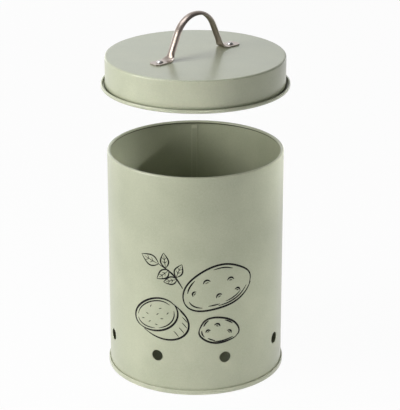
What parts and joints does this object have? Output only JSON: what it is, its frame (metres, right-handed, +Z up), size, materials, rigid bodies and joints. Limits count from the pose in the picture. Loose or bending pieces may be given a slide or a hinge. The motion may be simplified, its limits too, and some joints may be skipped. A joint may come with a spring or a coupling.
{
  "type": "potato storage bin",
  "caption": "Round vented steel keeper for potatoes: an open bin on a seamed base, with a slip-over lid that lifts straight off by a riveted strap handle.",
  "frame": {"origin": "on the bin's axis, in the plane it stands on", "axes": "+Z up the bin's axis; -Y out of the front, half way between two vents"},
  "size_m": [0.191, 0.191, 0.3783],
  "materials": {
    "sage_coat": "fine-grained satin powder coat",
    "strap_steel": "satin stainless steel, brushed along the strip",
    "rivet_steel": "bright domed heads",
    "washer_steel": "zinc-plated, dull"
  },
  "bodies": {
    "bin": {"bin_wall": "sage_coat", "base_pan": "sage_coat"},
    "lid": {"lid_pan": "sage_coat", "handle_strap": "strap_steel", "rivet_left": "rivet_steel", "rivet_right": "rivet_steel", "washer_left": "washer_steel", "washer_right": "washer_steel"}
  },
  "joints": [
    {"name": "lid_lift", "type": "slide", "parent": "bin", "child": "lid", "axis": [0, 0, 1], "range_m": [-0.0982, 0.04]}
  ]
}
